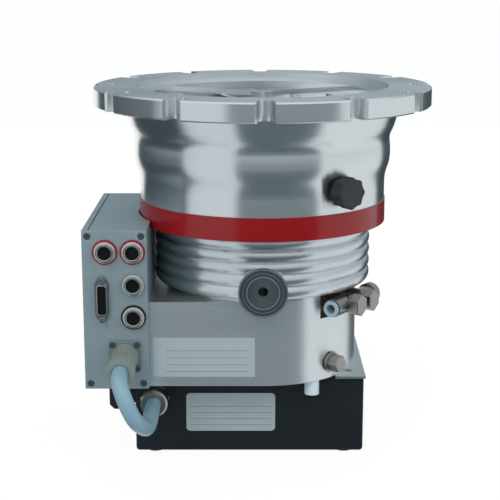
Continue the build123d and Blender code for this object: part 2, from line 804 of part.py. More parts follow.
def make_controller():
    x0, x1 = controller_x0, controller_x1
    z0, z1 = controller_bottom_z, controller_top_z
    y0, y1 = controller_front_y + plate_t, controller_back_y - plate_t
    w = controller_wall
    body = block(x0, x1, y0, y1, z0, z1)
    low_roof = band_bottom_z - roof_drop - w
    body -= block(x0 + w, -relief_r - roof_margin, y0, y1, z0 + w, z1 - w)
    body -= block(x0 + w, x1 - w, y0, y1, z0 + w, low_roof)
    bosses = [block(x - 4, x + 4, y0, y1, z - 4, z + 4) for x, z in plate_corners(x0, x1, z0, z1)]
    body = body + [b & block(x0, x1, y0, y1, z0, z1) for b in bosses]
    # Rail along the top left edge, with the shallow channel beside it
    body -= block(x0 + rail_w, x0 + rail_w + 1.2, y0 - 1, y1 + 1, z1 - rail_h, z1 + 1)
    body -= rod(relief_r, band_bottom_z - roof_drop, z1 + 5)
    hole = rod(controller_screw_r + seat, -200, 200)
    holes = [forward(x, 0, z) * hole for x, z in plate_corners(x0, x1, z0, z1)]
    keep = block(x0, x1, y0 + 14, y1 - 14, z0, z1)
    return body - [h - keep for h in holes]


def front_hole(r, x, z):
    return forward(x, controller_front_y + 60, z) * rod(r, 0, 80)


def make_front_plate():
    x0, x1 = controller_x0, controller_x1
    z0, z1 = controller_bottom_z, controller_top_z
    plate = block(x0, x1, controller_front_y, controller_front_y + plate_t, z0, z1)
    plate = chamfer(plate.faces().sort_by(Axis.Y)[0].edges(), 0.4)
    for x, z in plate_corners(x0, x1, z0, z1):
        plate -= front_hole(controller_screw_r + screw_play, x, z)
        sink = forward(x, controller_front_y + controller_head_h, z)
        plate -= sink * rod(controller_head_r + screw_play, 0, 5)
    for x, z, _ in sockets:
        plate -= front_hole(socket_r + seat, x, z)
    plate -= block(dsub_x - dsub_w / 2 - 0.2, dsub_x + dsub_w / 2 + 0.2, controller_front_y - 1,
                   controller_front_y + 10, dsub_z - dsub_h / 2 - 0.2, dsub_z + dsub_h / 2 + 0.2)
    for side in (-1, 1):
        plate -= front_hole(1.5, dsub_x, dsub_z + side * jackpost_spacing / 2)
    plate -= front_hole(receptacle_nose_r + seat, receptacle_x, receptacle_z)
    for x, z in receptacle_corners():
        plate -= front_hole(controller_screw_r + seat, x, z)
    return plate


def make_rear_plate():
    x0, x1 = controller_x0, controller_x1
    z0, z1 = controller_bottom_z, controller_top_z
    plate = block(x0, x1, controller_back_y - plate_t, controller_back_y, z0, z1)
    plate -= rod(relief_r, band_bottom_z - roof_drop, z1 + 5)
    for x, z in plate_corners(x0, x1, z0, z1):
        behind = Pos(x, controller_back_y + 5, z) * Rot(90, 0, 0)
        plate -= behind * rod(controller_screw_r + screw_play, 0, 20)
        plate -= behind * rod(controller_head_r + screw_play, 0, 5 + controller_head_h)
    return plate


def receptacle_corners():
    d = receptacle_screw_spacing / 2
    return [(receptacle_x + i * d, receptacle_z + j * d) for i in (-1, 1) for j in (-1, 1)]


def controller_screw():
    """Countersunk-style screw along +Z: head from Z = 0 up, shank below."""
    head = rod(controller_head_r, 0, controller_head_h - 0.1) - rod(1.2, 0.5, controller_head_h)
    return head + rod(controller_screw_r, -10, 0)


def make_controller_screws():
    screws = []
    for x, z in plate_corners(controller_x0, controller_x1, controller_bottom_z, controller_top_z):
        screws.append(forward(x, controller_front_y + controller_head_h, z) * controller_screw())
        head_y = controller_back_y - controller_head_h
        back = Location(Plane(origin=(x, head_y, z), x_dir=(1, 0, 0), z_dir=(0, 1, 0)))
        screws.append(back * controller_screw())
    for x, z in receptacle_corners():
        screws.append(forward(x, controller_front_y - receptacle_t, z) * controller_screw())
    return screws


def make_drive_board():
    face = controller_x0 + controller_wall
    low = controller_bottom_z + board_edge_gap
    board = block(face, face + board_t, controller_front_y + board_end_gap, controller_back_y - board_end_gap,
                  low, controller_top_z - board_edge_gap)
    tall = low + board_block_rise
    return board + [block(face + board_t, controller_x0 + board_block_w, y, y + board_block_len,
                          tall, tall + board_block_h) for y in board_block_places]


def make_sockets():
    shells, inserts, red, black = [], [], [], []
    for x, z, kind in sockets:
        place = forward(x, controller_front_y, z)
        ring_t = code_ring_t if kind != "plain" else 0.0
        shell = ring(socket_r, socket_bore_r, -plate_t, socket_h)
        shell += ring(socket_r + socket_lip, socket_bore_r, ring_t, ring_t + socket_flange_t)
        shells.append(place * shell)
        insert = rod(socket_bore_r - seat, -plate_t, socket_h - insert_recess)
        pin = Pos(socket_pin_circle_r, 0, socket_h - insert_recess - 2) * Cylinder(socket_pin_r, 6)
        pins = around(pin, 4, 45)
        inserts.append(place * (insert - pins))
        if kind != "plain":
            code = place * ring(code_ring_r, socket_r + seat, 0, ring_t)
            (red if kind == "red" else black).append(code)
    return shells, inserts, red, black


def make_dsub():
    place = forward(dsub_x, controller_front_y, dsub_z)
    flange = extrude(RectangleRounded(dsub_flange_w, dsub_flange_h, 1.5), dsub_flange_t)
    shell = extrude(RectangleRounded(dsub_w, dsub_h, 2.5), dsub_shell_h)
    cavity = extrude(RectangleRounded(dsub_w - 2 * dsub_wall, dsub_h - 2 * dsub_wall, 1.9), dsub_shell_h)
    body = flange + shell - cavity
    posts = []
    for side in (-1, 1):
        y = side * jackpost_spacing / 2
        body -= Pos(0, y) * Cylinder(1.5, 8)
        post = Pos(0, 0, dsub_flange_t) * hexagon(2 * jackpost_r, jackpost_h)
        post += rod(jackpost_shank_r, -jackpost_shank_len, dsub_flange_t)
        post -= rod(1.0, dsub_flange_t + 1.5, 9)
        posts.append(place * Pos(0, y) * post)
    inset = 2 * (dsub_wall + seat)
    face = RectangleRounded(dsub_w - inset, dsub_h - inset, 1.8)
    insert = Pos(0, 0, -10) * extrude(face, 10 + dsub_shell_h - 1.0)
    for row, count in ((-1.4, 8), (1.4, 7)):
        for i in range(count):
            insert -= Pos(row, (i - (count - 1) / 2) * 2.7, dsub_shell_h - 1.5) * Box(0.9, 0.9, 3.0)
    return place * body, posts, place * insert


def make_power_plug():
    """Receptacle on the plate, the plug's body, and its turning coupling ring."""
    place = forward(receptacle_x, controller_front_y, receptacle_z)
    back = extrude(RectangleRounded(receptacle_side, receptacle_side, 2.0), receptacle_t)
    receptacle = back + rod(receptacle_nose_r, -10, receptacle_nose_h)
    for x, z in receptacle_corners():
        receptacle -= Pos(x - receptacle_x, z - receptacle_z, 0) * Cylinder(controller_screw_r + seat, 20)
    start = receptacle_t + loose
    length = coupling_len
    coupling = ring(coupling_r, receptacle_nose_r + loose, start, start + length)
    flute = Pos(coupling_r + 0.3, 0, start + length * 0.65) * Cylinder(flute_r, length * 0.5)
    coupling -= around(flute, coupling_flutes)
    end = controller_front_y - plug_end_y
    body_start = start + length + loose
    body = rod(plug_body_r, body_start, end - plug_nut_len)
    for i in range(3):
        z = body_start + plug_groove_first + i * plug_groove_pitch
        body -= ring(plug_body_r + 1, plug_body_r - plug_groove_depth, z, z + plug_groove_w)
    body += rod(plug_nut_r, end - plug_nut_len, end)
    body += rod(receptacle_nose_r - 2, receptacle_nose_h, body_start)
    body -= rod(cable_r + loose, end - cable_socket, end)
    return place * receptacle, place * coupling, place * body


# ---- cable ---------------------------------------------------------------------------------------
cable_route = (
    (receptacle_x, -133.0, receptacle_z),
    (receptacle_x, -150.0, receptacle_z),
    (-107.5, -164.0, -221.5),
    (-99.5, -163.0, -241.0),
    (-94.0, -145.0, -254.0),
    (-92.0, -121.0, -263.0),
    (gland_x, -95.0, gland_z),
    (gland_x, -69.0, gland_z),
)


def make_cable():
    points = [Vector(*p) for p in cable_route]
    radii = []
    for a, b, c in zip(points, points[1:], points[2:]):
        turn = math.radians((b - a).get_angle(c - b))
        radii.append(0.45 * min((b - a).length, (c - b).length) / math.tan(turn / 2))
    path = FilletPolyline(*cable_route, radius=radii)
    start = Plane(origin=points[0], z_dir=points[1] - points[0])
    tube = sweep(start * Circle(cable_r), path)
    print("cable radii", [round(r, 1) for r in radii])
    print("cable volume", round(tube.volume), "section x length", round(math.pi * cable_r**2 * path.length))
    return tube


# ---- power supply ----------------------------------------------------------------------------------
def make_supply():
    body = block(supply_x0, supply_x1, supply_y0, supply_y1, supply_bottom_z, supply_top_z)
    body = fillet(body.edges().filter_by(Axis.Y).group_by(Axis.Z)[0], supply_edge_r)
    body = fillet(body.edges().filter_by(Axis.Z), 1.5)
    body -= forward(gland_x, supply_y0 + gland_stem_len + 1, gland_z) * rod(gland_stem_r + seat, 0, 40)
    body -= mains_block(-1, mains_pocket, mains_neck_w + 2 * loose, mains_neck_h + 2 * loose)
    low = supply_top_z - supply_screw_depth - screw_hole_extra
    return body - [rod(m5_r + seat, low, supply_top_z, x, y) for x, y in supply_screw_places]


def make_feet():
    places = [(x, y) for x in (supply_x0 + foot_inset, supply_x1 - foot_inset)
              for y in (supply_y0 + foot_inset - 4, supply_y1 - foot_inset)]
    return [rod(foot_r, supply_bottom_z - foot_h, supply_bottom_z, x, y) for x, y in places]


def make_bracket():
    """Sheet between the base and the supply."""
    z0, z1 = supply_top_z, base_bottom_z
    sheet = block(supply_x0 + bracket_left, supply_x1 + bracket_edge, supply_y0 - bracket_front,
                  supply_y1 - bracket_back, z0, z1)
    sheet -= block(supply_x0, bracket_tab_x, supply_y0 - 10, supply_y0 + 2, z0 - 1, z1 + 1)
    return sheet - [rod(m5_r + screw_play, z0, z1, x, y) for x, y in base_screw_places + supply_screw_places]


def make_gland():
    place = forward(gland_x, supply_y0, gland_z)
    length = supply_y0 - gland_face_y
    cap_start = gland_hex_h + gland_neck_len
    body = hexagon(gland_hex_af, gland_hex_h) + rod(gland_stem_r, -gland_stem_len, 0)
    body += rod(gland_neck_r, gland_hex_h, cap_start)
    cap = rod(gland_cap_r, cap_start, length)
    cap = chamfer(cap.faces().sort_by(Axis.Z)[-1].edges(), gland_cap_chamfer)
    cap -= rod(cable_r + loose, length - cable_socket, length)
    grip = Pos(gland_cap_r + 0.8, 0, cap_start + 4) * Box(2.0, 5.0, 9.0)
    cap -= around(grip, gland_grips)
    return place * body, place * cap


def mains_block(depth_from, depth_to, width, height):
    """Block in line with the mains connector, between two depths from the supply's left side."""
    z = supply_top_z - mains_drop
    return block(supply_x0 + depth_from, supply_x0 + depth_to, mains_y - width / 2, mains_y + width / 2,
                 z - height / 2, z + height / 2)


def make_mains_connector():
    inner = mains_block(-mains_neck_len, mains_pocket - seat, mains_neck_w, mains_neck_h)
    outer = mains_block(-mains_neck_len - mains_t, -mains_neck_len, mains_w, mains_h)
    return inner + chamfer(outer.edges().filter_by(Axis.Y), mains_chamfer)


def main():
    os.makedirs("parts", exist_ok=True)
    write("casing", make_casing())
    write("trim_band", make_band())
    write("lower_housing", make_lower_housing())

    rotor, hub_bottom = make_rotor()
    write("turbine_rotor", rotor)
    sleeve_top = hub_bottom - sleeve_disc_t
    write("holweck_sleeve", ring(sleeve_r, sleeve_inner_r, sleeve_top - sleeve_len, sleeve_top))
    write("rotor_shaft", make_shaft())
    magnet_top = star_top_z - star_h - magnet_drop
    thirds = [magnet_top - i * magnet_len / 3 for i in range(4)]
    inner_r = stub_r + magnet_ring_t
    write("magnet_stator_rings", *[ring(inner_r, stub_r + 0.01, b, a) for a, b in zip(thirds, thirds[1:])])
    write("magnet_rotor_rings", *[ring(hub_bore_r - 0.01, inner_r + magnet_gap, b, a)
                                  for a, b in zip(thirds, thirds[1:])])
    catch_r = catch_pin_r + catch_gap
    catch_top = stub_bottom_z + catch_len
    write("safety_bearing", ring(catch_r + catch_wall - 0.02, catch_r, stub_bottom_z, catch_top))
    motor_top = joint_z - motor_drop
    write("motor_magnet", ring(motor_magnet_r, shaft_r + 0.01, motor_top - motor_len, motor_top))
    bore = motor_magnet_r + motor_gap
    stator_r = tower_r - tower_wall - seat
    write("motor_laminations", ring(stator_r, bore, motor_top - motor_len, motor_top))
    winding = ring(stator_r - winding_inset, bore + winding_inset, 0, winding_h)
    lower_winding = Pos(0, 0, motor_top - motor_len - winding_h) * winding
    write("motor_windings", Pos(0, 0, motor_top) * winding, lower_winding)
    write("bearing_star", make_star())
    write("stator_discs", *make_stator_discs())
    write("spacer_rings", *make_spacers())
    write("holweck_stators", *make_holweck())

    inner, outer, cage, balls = make_ball_bearing()
    write("bearing_inner_ring", inner)
    write("bearing_outer_ring", outer)
    write("ball_cage", cage)
    write("bearing_balls", *balls)
    write("bearing_holder", ring(bearing_seat_r() - seat, bearing_outer_r + damper_t,
                                 bearing_z - bearing_h - holder_rise, bearing_z + holder_rise))
    cover_top_z = base_bottom_z + cover_t
    write("lubricant_reservoir", ring(reservoir_r, journal_r, cover_top_z + loose, cover_top_z + reservoir_h))
    write("bottom_cover", make_bottom_cover())
    write("socket_screws", *make_socket_screws())
    into_base = [rod(m5_r, supply_top_z, base_bottom_z + base_screw_depth, x, y)
                 for x, y in base_screw_places]
    into_supply = [rod(m5_r, supply_top_z - supply_screw_depth, base_bottom_z, x, y)
                   for x, y in supply_screw_places]
    write("bracket_screws", *into_base, *into_supply)

    gas_plug, gasket = make_gas_plug()
    cover_ring = ring(reservoir_r + cover_seal_out - 0.1, reservoir_r + cover_seal_in + 0.1,
                      cover_top_z - loose, cover_top_z + cover_seal_depth - 0.1)
    damper = ring(bearing_outer_r + damper_t - 0.01, bearing_outer_r + 0.01,
                  bearing_z - bearing_h + 1, bearing_z - 1)
    write("o_rings", cover_ring, gasket, damper)
    write("sealing_gas_plug", gas_plug)
    write("base_post", make_post())

    write("forevacuum_port", make_port())
    write("port_baffle", make_port_baffle())
    knob, seal = make_vent()
    write("vent_knob", knob)
    write("vent_seal", seal)
    write("water_block", make_water_block())
    write("water_bolts", *[make_water_bolt(across, way) for across, way, _ in water_ports])
    for name, (across, way, collar) in zip(("front", "rear"), water_ports):
        elbow, collet = make_elbow(across, way, collar)
        write(f"water_elbow_{name}", elbow)
        write(f"release_collet_{name}", collet)

    write("controller_housing", make_controller())
    write("controller_front_plate", make_front_plate())
    write("controller_rear_plate", make_rear_plate())
    write("controller_screws", *make_controller_screws())
    write("drive_board", make_drive_board())
    shells, inserts, red, black = make_sockets()
    write("socket_shells", *shells)
    write("socket_inserts", *inserts)
    write("red_code_rings", *red)
    write("black_code_ring", *black)
    dsub, posts, insert = make_dsub()
    write("dsub_shell", dsub, *posts)
    write("dsub_insert", insert)
    receptacle, coupling, body = make_power_plug()
    write("power_receptacle", receptacle)
    write("plug_coupling_ring", coupling)
    write("plug_body", body)
    write("power_cable", make_cable())

    write("power_supply_case", make_supply())
    write("power_supply_feet", *make_feet())
    write("supply_bracket", make_bracket())
    write("cable_gland", *make_gland())
    write("mains_connector", make_mains_connector())


main()
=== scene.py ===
# %% [markdown]
# # A turbomolecular pump, dressed in Blender
# The pump's solids come ready made as a fixed frame, in metres, with the centre of the inlet flange at the
# origin and the rotor's axis along +Z. This lesson adds what solids alone lack: a studio, a cable with a
# natural line, plates, contacts, and finishes with the grain that each real surface shows.

# %% Load the frame
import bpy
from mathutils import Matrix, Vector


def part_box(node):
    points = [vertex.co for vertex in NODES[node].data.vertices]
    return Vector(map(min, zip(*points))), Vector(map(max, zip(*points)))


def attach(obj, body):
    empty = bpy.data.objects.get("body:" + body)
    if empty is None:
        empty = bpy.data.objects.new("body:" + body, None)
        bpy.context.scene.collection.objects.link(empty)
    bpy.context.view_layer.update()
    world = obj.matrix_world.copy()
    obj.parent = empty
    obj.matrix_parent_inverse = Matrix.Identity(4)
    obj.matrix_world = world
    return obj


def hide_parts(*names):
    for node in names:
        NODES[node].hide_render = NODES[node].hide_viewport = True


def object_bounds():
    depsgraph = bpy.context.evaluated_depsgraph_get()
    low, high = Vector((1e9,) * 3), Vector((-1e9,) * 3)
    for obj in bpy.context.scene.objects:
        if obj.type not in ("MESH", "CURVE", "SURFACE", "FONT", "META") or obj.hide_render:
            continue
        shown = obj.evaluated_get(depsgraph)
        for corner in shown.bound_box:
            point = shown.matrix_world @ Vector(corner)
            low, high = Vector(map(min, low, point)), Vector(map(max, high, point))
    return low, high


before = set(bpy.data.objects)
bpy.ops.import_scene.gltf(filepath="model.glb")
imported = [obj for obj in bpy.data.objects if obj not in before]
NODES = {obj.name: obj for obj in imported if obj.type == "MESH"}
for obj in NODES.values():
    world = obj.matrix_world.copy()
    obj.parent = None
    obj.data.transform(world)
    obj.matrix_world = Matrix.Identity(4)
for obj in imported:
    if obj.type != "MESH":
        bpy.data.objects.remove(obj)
CAD_BOX = [list(corner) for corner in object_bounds()]

import math
import bmesh
import bpy
from mathutils import Matrix, Vector

print("frame:", len(NODES), "nodes, box", CAD_BOX)

# %% [markdown]
# ## The camera
# A product picture of a round machine is taken with a long lens from a little above, so the inlet shows as
# a narrow ellipse. A long lens also keeps the controller's box from leaning. The camera stands 1.1 m in
# front.

# %% Camera
LENS_MM = 93.152
PITCH_DOWN = 12.838
CAMERA_PLACE = (-0.01052, -1.1, 0.10653)

camera = bpy.data.objects.new("camera", bpy.data.cameras.new("camera"))
camera.data.sensor_width = 36.0
camera.data.lens = LENS_MM
camera.location = CAMERA_PLACE
camera.rotation_euler = (math.radians(90 - PITCH_DOWN), 0, 0)
bpy.context.scene.collection.objects.link(camera)
bpy.context.scene.camera = camera
print("camera:", LENS_MM, "mm lens")

# %% [markdown]
# ## The power cable
# The cable leaves the controller's plug, bends down and back under the controller, and enters the supply's
# gland. A curve with few control points and a round bevel bends like a real jacket, where a chain of
# straight pipes would kink. Both ends sit in their sleeves, so no cut end shows.

# %% Cable
CABLE_R = 0.0064
CABLE_ROUTE = (
    (-0.1122, -0.1330, -0.2120), (-0.1122, -0.1500, -0.2120), (-0.1075, -0.1640, -0.2215),
    (-0.0995, -0.1630, -0.2410), (-0.0940, -0.1450, -0.2540), (-0.0920, -0.1210, -0.2630),
    (-0.0915, -0.0950, -0.2605), (-0.0915, -0.0690, -0.2605),
)
line = bpy.data.curves.new("power_cable_jacket", "CURVE")
line.dimensions = "3D"
spline = line.splines.new("NURBS")
spline.points.add(len(CABLE_ROUTE) - 1)
for point, place in zip(spline.points, CABLE_ROUTE):
    point.co = (*place, 1)
    point.radius = CABLE_R
spline.order_u = 3
spline.use_endpoint_u = True
spline.resolution_u = 16
line.bevel_depth = 1.0
line.bevel_resolution = 8
cable = bpy.data.objects.new("power_cable_jacket", line)
bpy.context.scene.collection.objects.link(cable)
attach(cable, "pump")
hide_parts("power_cable")

# %% [markdown]
# ## The studio
# Polished metal shows its surroundings more than its own colour. Bright turned aluminium looks like metal
# only if bright panels and dark gaps stand round it. The world shader paints such a room: tall bright
# panels with dark gaps between them, a bright ceiling, and plain white where the camera looks past the
# pump.

# %% Studio world
# Panels are (degrees round the pump, brightness up to the next), with 0 in front and + to the right.
PANELS = (
    (-180, 1.00), (-147, 0.06), (-74, 0.70), (-24, 0.13), (52, 0.78), (133, 0.06), (168, 1.00),
)
UPPER_PANELS = ((-180, 0.32), (-110, 0.50), (-70, 0.66), (70, 0.60), (120, 0.45))
EDGE_SOFT = 3.0   # degrees over which a panel fades into its gap
UPPER_SOFT = 14.0
UPPER_FROM, UPPER_FULL = -0.07, 0.10      # height of a direction where the upper panels begin and are full
CEILING = 0.80
CEILING_FROM, CEILING_FULL = 0.45, 0.80
GAP_LESS_RED, GAP_MORE_BLUE = 0.30, 0.14


def add_node(tree, kind, **settings):
    """A node of this kind, with its settings, in a shader tree."""
    made = tree.nodes.new(kind)
    for key, value in settings.items():
        setattr(made, key, value)
    return made


def maths(tree, operation, *values):
    """A Math node on these numbers or sockets; returns its output."""
    made = add_node(tree, "ShaderNodeMath", operation=operation)
    for socket, value in zip(made.inputs, values):
        if isinstance(value, bpy.types.NodeSocket):
            tree.links.new(value, socket)
        else:
            socket.default_value = value
    return made.outputs[0]


def panel_colour(level):
    """Bright panels are neutral and the gaps between them a dark blue-grey."""
    gap = 1 - level
    return (level * (1 - GAP_LESS_RED * gap), level, level * (1 + GAP_MORE_BLUE * gap), 1)


def panel_ramp(tree, turn, panels, soft):
    """Colours round the room from (degrees, brightness) pairs."""
    made = add_node(tree, "ShaderNodeValToRGB")
    tree.links.new(turn, made.inputs[0])
    ramp = made.color_ramp
    ramp.elements[0].color = panel_colour(panels[0][1])
    ramp.elements[-1].color = panel_colour(panels[0][1])
    for (start, level), (_, before) in zip(panels[1:], panels):
        for degrees, value in ((start - soft, before), (start + soft, level)):
            ramp.elements.new(degrees / 360 + 0.5).color = panel_colour(value)
    ramp.elements.new(1 - soft / 360).color = panel_colour(panels[-1][1])
    return made.outputs["Color"]


def fade(tree, value, start, end):
    """0 below start, 1 above end, smooth between."""
    made = add_node(tree, "ShaderNodeMapRange", interpolation_type="SMOOTHSTEP")
    tree.links.new(value, made.inputs["Value"])
    made.inputs["From Min"].default_value = start
    made.inputs["From Max"].default_value = end
    return made.outputs[0]


def mix_colours(tree, factor, first, second):
    """A colour mix; each input is a socket or a colour."""
    made = add_node(tree, "ShaderNodeMix", data_type="RGBA")
    for value, title in ((factor, "Factor"), (first, "A"), (second, "B")):
        if isinstance(value, bpy.types.NodeSocket):
            tree.links.new(value, made.inputs[title])
        else:
            made.inputs[title].default_value = value
    return made.outputs["Result"]


world = bpy.data.worlds.new("studio")
world.use_nodes = True
bpy.context.scene.world = world
tree = world.node_tree
tree.nodes.clear()
direction = add_node(tree, "ShaderNodeTexCoord").outputs["Generated"]
parts = add_node(tree, "ShaderNodeSeparateXYZ")
tree.links.new(direction, parts.inputs[0])
turn = maths(tree, "ARCTAN2", parts.outputs["X"], maths(tree, "MULTIPLY", parts.outputs["Y"], -1.0))
turn = maths(tree, "MULTIPLY_ADD", turn, 0.5 / math.pi, 0.5)
room = mix_colours(tree, fade(tree, parts.outputs["Z"], UPPER_FROM, UPPER_FULL),
                   panel_ramp(tree, turn, PANELS, EDGE_SOFT),
                   panel_ramp(tree, turn, UPPER_PANELS, UPPER_SOFT))
room = mix_colours(tree, fade(tree, parts.outputs["Z"], CEILING_FROM, CEILING_FULL), room,
                   panel_colour(CEILING))
seen = add_node(tree, "ShaderNodeLightPath")
view = mix_colours(tree, seen.outputs["Is Camera Ray"], room, (1, 1, 1, 1))
background = add_node(tree, "ShaderNodeBackground")
tree.links.new(view, background.inputs["Color"])
tree.links.new(background.outputs[0], add_node(tree, "ShaderNodeOutputWorld").inputs[0])
print("studio:", len(PANELS), "panels and gaps")

# %% [markdown]
# ## Floor and lamps
# The floor is a big white sheet. Where the camera sees it directly it is nearly pure white, with only a
# trace of the pump's shadow. Metal doesn't reflect it, because upright walls seen from above would then
# mirror the floor instead of the panels. Large soft lamps shade the dull plastics without adding hard
# glints to the metal.

# %% Floor and lamps
FLOOR_Z = CAD_BOX[0][2]
FLOOR_SIZE = 40.0
FLOOR_WHITE = 0.90
FLOOR_GLOW = 1.05
FLOOR_PAPER = (0.62, 0.64, 0.65, 1)
LAMP_TARGET = Vector((0, 0, -0.15))


def as_object(bm, name):
    """Puts a finished bmesh into the scene as an object at the origin."""
    mesh = bpy.data.meshes.new(name)
    bm.to_mesh(mesh)
    bm.free()
    made = bpy.data.objects.new(name, mesh)
    bpy.context.scene.collection.objects.link(made)
    return made


bm = bmesh.new()
bmesh.ops.create_grid(bm, x_segments=1, y_segments=1, size=FLOOR_SIZE / 2,
                      matrix=Matrix.Translation((0, 0, FLOOR_Z)))
floor = as_object(bm, "floor")
floor.visible_glossy = False
paper = bpy.data.materials.new("white_paper")
paper.use_nodes = True
tree = paper.node_tree
tree.nodes.clear()
lit = add_node(tree, "ShaderNodeBsdfDiffuse")
lit.inputs["Color"].default_value = FLOOR_PAPER
glow = add_node(tree, "ShaderNodeEmission")
glow.inputs["Strength"].default_value = FLOOR_GLOW
mix = add_node(tree, "ShaderNodeMixShader")
path = add_node(tree, "ShaderNodeLightPath")
tree.links.new(maths(tree, "MULTIPLY", path.outputs["Is Camera Ray"], FLOOR_WHITE), mix.inputs["Fac"])
tree.links.new(lit.outputs[0], mix.inputs[1])
tree.links.new(glow.outputs[0], mix.inputs[2])
tree.links.new(mix.outputs[0], add_node(tree, "ShaderNodeOutputMaterial").inputs["Surface"])
floor.data.materials.append(paper)

for name, place, size, watts in (
    ("key_lamp", (-0.9, -1.5, 1.3), 1.0, 16.0),
    ("fill_lamp", (1.4, -1.1, 0.7), 1.2, 9.0),
    ("back_lamp", (-0.3, 1.6, 1.0), 1.2, 8.0),
):
    lamp = bpy.data.objects.new(name, bpy.data.lights.new(name, "AREA"))
    lamp.data.size = size
    lamp.data.energy = watts
    lamp.location = place
    lamp.rotation_euler = (LAMP_TARGET - Vector(place)).to_track_quat("-Z", "Y").to_euler()
    lamp.visible_glossy = False
    bpy.context.scene.collection.objects.link(lamp)
bpy.context.scene.view_settings.view_transform = "Standard"
print("floor at", FLOOR_Z)

# %% [markdown]
# ## Shared surface effects
# Several finishes share the same few effects, so each effect is a node group with named inputs, built once.
# Turned metal carries fine rings round the lathe's axis, and a brushed face carries long level streaks.
# Cast, anodised, moulded and painted surfaces carry an even fine grain. Every machined edge is broken a
# little, which catches light; a Bevel node gives that.

# %% Group helpers
def new_group(name, inputs, outputs):
    """An empty shader group with these sockets. Returns the group, its input node and its output node."""
    group = bpy.data.node_groups.new(name, "ShaderNodeTree")
    for title, kind, value in inputs:
        socket = group.interface.new_socket(title, in_out="INPUT", socket_type="NodeSocket" + kind)
        if value is not None:
            socket.default_value = value
    for title, kind in outputs:
        group.interface.new_socket(title, in_out="OUTPUT", socket_type="NodeSocket" + kind)
    return group, group.nodes.new("NodeGroupInput"), group.nodes.new("NodeGroupOutput")


def pattern_group(name, count_title, count, light, dark, roughness, spread):
    """A group for one surface pattern. Its fourth input is how many marks the pattern has per metre."""
    return new_group(
        name,
        (("Vector", "Vector", None), ("Light", "Color", light), ("Dark", "Color", dark),
         (count_title, "Float", count), ("Roughness", "Float", roughness), ("Spread", "Float", spread)),
        (("Color", "Color"), ("Roughness", "Float"), ("Height", "Float")))


def blend(tree, first, second, share):
    """A tone: this share of the second pattern and the rest of the first."""
    rest = maths(tree, "MULTIPLY", first, 1 - share)
    return maths(tree, "ADD", rest, maths(tree, "MULTIPLY", second, share))


def pattern_out(tree, enter, leave, tone, shift, height):
    """Wires a pattern's tone to colour, its shift to roughness and its height to relief."""
    shade = mix_colours(tree, tone, enter.outputs["Dark"], enter.outputs["Light"])
    tree.links.new(shade, leave.inputs["Color"])
    change = maths(tree, "MULTIPLY", shift, enter.outputs["Spread"])
    tree.links.new(maths(tree, "ADD", enter.outputs["Roughness"], change), leave.inputs["Roughness"])
    tree.links.new(height, leave.inputs["Height"])


def noise(tree, vector, scale, detail=2.0):
    """A noise texture's factor; scale is a number or a socket."""
    made = add_node(tree, "ShaderNodeTexNoise")
    tree.links.new(vector, made.inputs["Vector"])
    if isinstance(scale, bpy.types.NodeSocket):
        tree.links.new(scale, made.inputs["Scale"])
    else:
        made.inputs["Scale"].default_value = scale
    made.inputs["Detail"].default_value = detail
    return made.outputs["Fac"]


# %% Rings left by turning
BROAD_TONES = 60.0
HANDLING_MARKS = 28.0

turned_rings, enter, leave = pattern_group(
    "turned_rings", "Rings per metre", 900.0, (0.8, 0.8, 0.8, 1), (0.6, 0.6, 0.6, 1), 0.25, 0.08)
tree = turned_rings
parts = add_node(tree, "ShaderNodeSeparateXYZ")
tree.links.new(enter.outputs["Vector"], parts.inputs[0])
squares = [maths(tree, "POWER", parts.outputs[title], 2.0) for title in ("X", "Y")]
radius = maths(tree, "SQRT", maths(tree, "ADD", *squares))
section = add_node(tree, "ShaderNodeCombineXYZ")
tree.links.new(radius, section.inputs["X"])
tree.links.new(parts.outputs["Z"], section.inputs["Z"])
rings = noise(tree, section.outputs[0], enter.outputs["Rings per metre"], 1.0)
broad = noise(tree, section.outputs[0], BROAD_TONES, 2.0)
handled = noise(tree, enter.outputs["Vector"], HANDLING_MARKS, 3.0)
shift = maths(tree, "ADD", maths(tree, "SUBTRACT", rings, 0.5), maths(tree, "SUBTRACT", handled, 0.5))
pattern_out(tree, enter, leave, blend(tree, rings, broad, 0.5), shift, rings)
print("group:", turned_rings.name)

# %% Even grain
GRAIN_PATCHES = 22.0

even_grain, enter, leave = pattern_group(
    "even_grain", "Grains per metre", 900.0, (0.5, 0.5, 0.5, 1), (0.4, 0.4, 0.4, 1), 0.5, 0.08)
tree = even_grain
grain = noise(tree, enter.outputs["Vector"], enter.outputs["Grains per metre"], 2.0)
patches = noise(tree, enter.outputs["Vector"], GRAIN_PATCHES, 3.0)
shift = maths(tree, "SUBTRACT", patches, 0.5)
pattern_out(tree, enter, leave, blend(tree, grain, patches, 0.6), shift, grain)
print("group:", even_grain.name)

# %% Streaks left by brushing
STREAKS_ALONG = 14.0      # streaks per metre along their length, which makes them long
STREAK_PATCHES = 24.0

brushed_streaks, enter, leave = pattern_group(
    "brushed_streaks", "Streaks per metre", 700.0, (0.8, 0.8, 0.8, 1), (0.6, 0.6, 0.6, 1), 0.35, 0.10)
tree = brushed_streaks
parts = add_node(tree, "ShaderNodeSeparateXYZ")
tree.links.new(enter.outputs["Vector"], parts.inputs[0])
long_way = add_node(tree, "ShaderNodeCombineXYZ")
for title, count in (("X", STREAKS_ALONG), ("Y", STREAKS_ALONG), ("Z", enter.outputs["Streaks per metre"])):
    tree.links.new(maths(tree, "MULTIPLY", parts.outputs[title], count), long_way.inputs[title])
streaks = noise(tree, long_way.outputs[0], 1.0, 3.0)
patches = noise(tree, enter.outputs["Vector"], STREAK_PATCHES, 2.0)
shift = maths(tree, "SUBTRACT", streaks, 0.5)
pattern_out(tree, enter, leave, blend(tree, streaks, patches, 0.3), shift, streaks)
print("group:", brushed_streaks.name)

